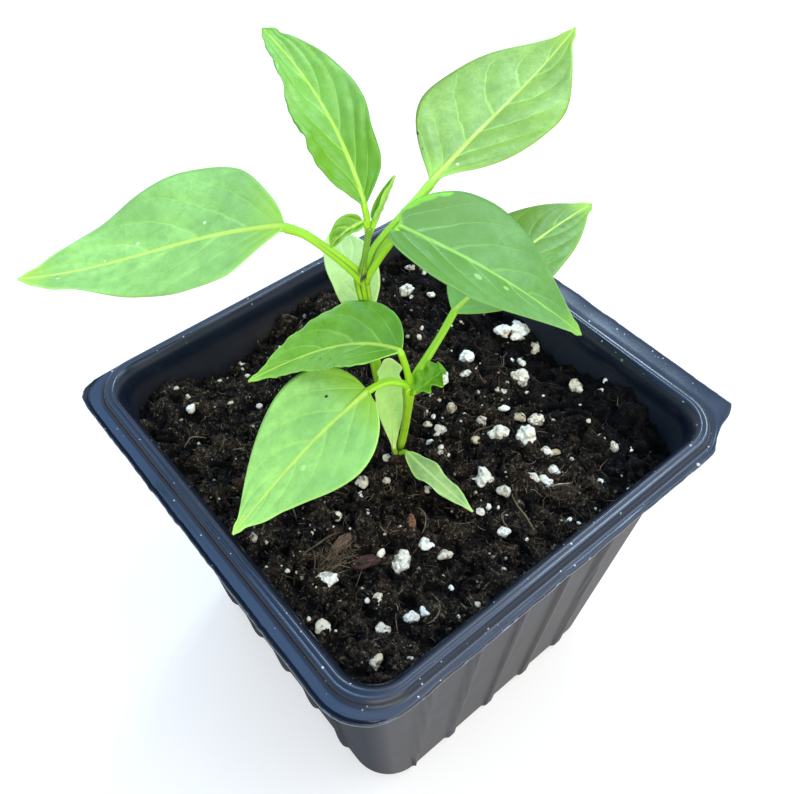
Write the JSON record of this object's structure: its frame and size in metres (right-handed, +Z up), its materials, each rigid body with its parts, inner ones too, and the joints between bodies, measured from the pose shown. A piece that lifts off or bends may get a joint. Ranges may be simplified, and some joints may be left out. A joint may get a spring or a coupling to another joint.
{
  "type": "potted chilli pepper plant",
  "caption": "Young chilli pepper plant with oval pointed leaves, rooted in a peaty mix with perlite in a square ribbed nursery pot.",
  "frame": {"origin": "centre of the pot's flat underside", "axes": "+Z up; the pot's sides lie along X and Y; the tallest leaves lean to +Y and the plant is seen best from (-X, -Y)"},
  "size_m": [0.1006, 0.0872, 0.1396],
  "materials": {
    "pot_plastic": "satin",
    "potting_mix": "matte",
    "root": "matte",
    "stem": "satin",
    "leaf": "satin",
    "pale_leaf": "satin",
    "perlite": "matte",
    "bark": "matte"
  },
  "bodies": {
    "root": {"pot": "pot_plastic", "potting_mix": "potting_mix", "root_system": "root", "main_stem": "stem", "side_shoot": "stem", "leaf_left": "leaf", "leaf_top": "leaf", "leaf_upper_right": "leaf", "leaf_middle_right": "leaf", "leaf_far_right": "leaf", "leaf_centre_left": "leaf", "leaf_lower_left": "leaf", "tip_leaf_left": "leaf", "tip_leaf_right": "leaf", "axil_leaf": "leaf", "leaf_behind_stem": "pale_leaf", "seed_leaf_front": "pale_leaf", "seed_leaf_back": "pale_leaf", "perlite_01": "perlite", "perlite_02": "perlite", "perlite_03": "perlite", "perlite_04": "perlite", "perlite_05": "perlite", "perlite_06": "perlite", "perlite_07": "perlite", "perlite_08": "perlite", "perlite_09": "perlite", "perlite_10": "perlite", "perlite_11": "perlite", "perlite_12": "perlite", "perlite_13": "perlite", "perlite_14": "perlite", "perlite_15": "perlite", "perlite_16": "perlite", "bark_chip_1": "bark", "bark_chip_2": "bark", "bark_chip_3": "bark"}
  },
  "joints": []
}
